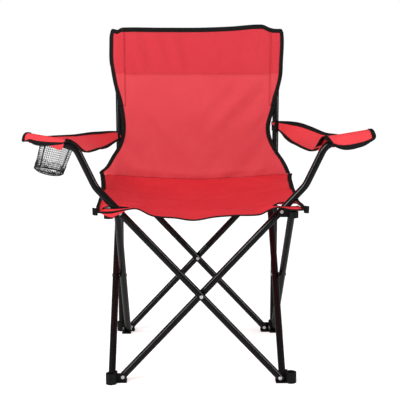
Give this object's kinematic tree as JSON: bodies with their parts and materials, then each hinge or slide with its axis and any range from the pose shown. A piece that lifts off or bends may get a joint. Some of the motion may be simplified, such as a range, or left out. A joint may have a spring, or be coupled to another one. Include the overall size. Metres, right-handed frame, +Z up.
{
  "type": "folding camp chair",
  "caption": "Folding quad camp chair: crossed steel tube legs, fabric sling seat and back, strap armrests and a net cup holder under one arm.",
  "frame": {"origin": "the middle of the floor area under the open chair, at the level of the feet's soles", "axes": "+Z is up, the sitter faces -Y, and +X is on the right of someone who looks at the chair's front"},
  "size_m": [0.7504, 0.431, 0.79],
  "materials": {
    "frame_tube": "gloss black powder coat on steel tube",
    "rivet_steel": "zinc plated tubular rivets",
    "black_plastic": "satin black moulded plastic",
    "red_cloth": "red coated plain weave polyester cloth",
    "black_tape": "black woven binding tape",
    "black_net": "black knitted polyester net"
  },
  "bodies": {
    "rear_left_foot": {"rear_left_foot": "black_plastic", "rear_left_foot_rivets": "rivet_steel", "left_back_pole": "frame_tube", "left_pole_cap": "black_plastic", "left_pole_pin": "rivet_steel", "back_upper_panel": "red_cloth", "back_lower_panel": "red_cloth"},
    "left_inner_leg": {"left_inner_leg": "frame_tube"},
    "left_outer_leg": {"left_outer_leg": "frame_tube", "left_crossing_rivet": "rivet_steel", "left_crossing_washer": "black_plastic"},
    "front_left_foot": {"front_left_foot": "black_plastic", "front_left_foot_rivets": "rivet_steel"},
    "front_inner_leg": {"front_inner_leg": "frame_tube", "right_arm_tube_cap": "black_plastic", "right_armrest": "red_cloth"},
    "front_outer_leg": {"front_outer_leg": "frame_tube", "front_crossing_rivet": "rivet_steel", "front_crossing_washer": "black_plastic", "left_arm_tube_cap": "black_plastic", "left_armrest": "red_cloth", "cup_holder": "black_net"},
    "front_right_hub": {"front_right_hub": "black_plastic", "front_right_hub_rivets": "rivet_steel"},
    "front_left_hub": {"front_left_hub": "black_plastic", "front_left_hub_rivets": "rivet_steel"},
    "rear_left_hub": {"rear_left_hub": "black_plastic", "rear_left_hub_rivets": "rivet_steel"},
    "rear_outer_leg": {"rear_outer_leg": "frame_tube", "rear_crossing_rivet": "rivet_steel", "rear_crossing_washer": "black_plastic"},
    "rear_inner_leg": {"rear_inner_leg": "frame_tube"},
    "rear_right_foot": {"rear_right_foot": "black_plastic", "rear_right_foot_rivets": "rivet_steel", "right_back_pole": "frame_tube", "right_pole_cap": "black_plastic", "right_pole_pin": "rivet_steel"},
    "right_outer_leg": {"right_outer_leg": "frame_tube", "right_crossing_rivet": "rivet_steel", "right_crossing_washer": "black_plastic"},
    "right_inner_leg": {"right_inner_leg": "frame_tube"},
    "front_right_foot": {"front_right_foot": "black_plastic", "front_right_foot_rivets": "rivet_steel"},
    "rear_right_hub": {"rear_right_hub": "black_plastic", "rear_right_hub_rivets": "rivet_steel"},
    "seat_front": {"seat_front_panel": "red_cloth"},
    "seat_rear": {"seat_rear_panel": "red_cloth"}
  },
  "joints": [
    {"name": "fold", "type": "hinge", "parent": "rear_left_foot", "child": "left_inner_leg", "pos_m": [-0.1828, 0.175, 0.012], "axis": [-1, 0, 0], "range_deg": [0, 37], "deforming": ["back_upper_panel", "back_lower_panel", "seat_front_panel", "seat_rear_panel", "left_armrest", "right_armrest", "cup_holder"]},
    {"name": "left_crossing", "type": "hinge", "parent": "left_inner_leg", "child": "left_outer_leg", "pos_m": [-0.1914, 0, 0.1985], "axis": [1, 0, 0], "range_deg": [0, 75]},
    {"name": "front_left_foot_on_left_leg", "type": "hinge", "parent": "left_outer_leg", "child": "front_left_foot", "pos_m": [-0.2, -0.175, 0.012], "axis": [-1, 0, 0], "range_deg": [0, 38]},
    {"name": "front_inner_leg_foot", "type": "hinge", "parent": "front_left_foot", "child": "front_inner_leg", "pos_m": [-0.175, -0.1828, 0.012], "axis": [0, -1, 0], "range_deg": [0, 38]},
    {"name": "front_crossing", "type": "hinge", "parent": "front_inner_leg", "child": "front_outer_leg", "pos_m": [0, -0.1914, 0.1985], "axis": [0, 1, 0], "range_deg": [0, 75]},
    {"name": "front_right_hub_turn", "type": "hinge", "parent": "front_inner_leg", "child": "front_right_hub", "pos_m": [0.175, -0.1828, 0.385], "axis": [0, 1, 0], "range_deg": [0, 38]},
    {"name": "front_left_hub_turn", "type": "hinge", "parent": "left_inner_leg", "child": "front_left_hub", "pos_m": [-0.1828, -0.175, 0.385], "axis": [1, 0, 0], "range_deg": [0, 38]},
    {"name": "rear_left_hub_turn", "type": "hinge", "parent": "left_outer_leg", "child": "rear_left_hub", "pos_m": [-0.2, 0.175, 0.385], "axis": [-1, 0, 0], "range_deg": [0, 38]},
    {"name": "rear_outer_leg_foot", "type": "hinge", "parent": "rear_left_foot", "child": "rear_outer_leg", "pos_m": [-0.175, 0.2, 0.012], "axis": [0, -1, 0], "range_deg": [0, 38]},
    {"name": "rear_crossing", "type": "hinge", "parent": "rear_outer_leg", "child": "rear_inner_leg", "pos_m": [0, 0.1914, 0.1985], "axis": [0, 1, 0], "range_deg": [0, 75]},
    {"name": "rear_right_foot_on_rear_leg", "type": "hinge", "parent": "rear_inner_leg", "child": "rear_right_foot", "pos_m": [0.175, 0.1828, 0.012], "axis": [0, -1, 0], "range_deg": [0, 38]},
    {"name": "right_outer_leg_foot", "type": "hinge", "parent": "rear_right_foot", "child": "right_outer_leg", "pos_m": [0.2, 0.175, 0.012], "axis": [-1, 0, 0], "range_deg": [0, 38]},
    {"name": "right_crossing", "type": "hinge", "parent": "right_outer_leg", "child": "right_inner_leg", "pos_m": [0.1914, 0, 0.1985], "axis": [1, 0, 0], "range_deg": [0, 75]},
    {"name": "front_right_foot_on_right_leg", "type": "hinge", "parent": "right_inner_leg", "child": "front_right_foot", "pos_m": [0.1828, -0.175, 0.012], "axis": [-1, 0, 0], "range_deg": [0, 38]},
    {"name": "rear_right_hub_turn", "type": "hinge", "parent": "rear_outer_leg", "child": "rear_right_hub", "pos_m": [0.175, 0.2, 0.385], "axis": [0, 1, 0], "range_deg": [0, 38]},
    {"name": "seat_front_fold", "type": "hinge", "parent": "front_left_hub", "child": "seat_front", "pos_m": [0, -0.205, 0.392], "axis": [-1, 0, 0], "range_deg": [0, 78.7]},
    {"name": "seat_rear_fold", "type": "hinge", "parent": "rear_left_hub", "child": "seat_rear", "pos_m": [0, 0.186, 0.4], "axis": [1, 0, 0], "range_deg": [0, 78.7]}
  ],
  "couplings": [
    {"joint": "left_crossing", "follows": "fold", "ratio": 2},
    {"joint": "front_left_foot_on_left_leg", "follows": "fold", "ratio": 1},
    {"joint": "front_inner_leg_foot", "follows": "fold", "ratio": 1},
    {"joint": "front_crossing", "follows": "fold", "ratio": 2},
    {"joint": "front_right_hub_turn", "follows": "fold", "ratio": 1},
    {"joint": "front_left_hub_turn", "follows": "fold", "ratio": 1},
    {"joint": "rear_left_hub_turn", "follows": "fold", "ratio": 1},
    {"joint": "rear_outer_leg_foot", "follows": "fold", "ratio": 1},
    {"joint": "rear_crossing", "follows": "fold", "ratio": 2},
    {"joint": "rear_right_foot_on_rear_leg", "follows": "fold", "ratio": 1},
    {"joint": "right_outer_leg_foot", "follows": "fold", "ratio": 1},
    {"joint": "right_crossing", "follows": "fold", "ratio": 2},
    {"joint": "front_right_foot_on_right_leg", "follows": "fold", "ratio": 1},
    {"joint": "rear_right_hub_turn", "follows": "fold", "ratio": 1},
    {"joint": "seat_front_fold", "follows": "fold", "ratio": 2.1},
    {"joint": "seat_rear_fold", "follows": "fold", "ratio": 2.1}
  ]
}
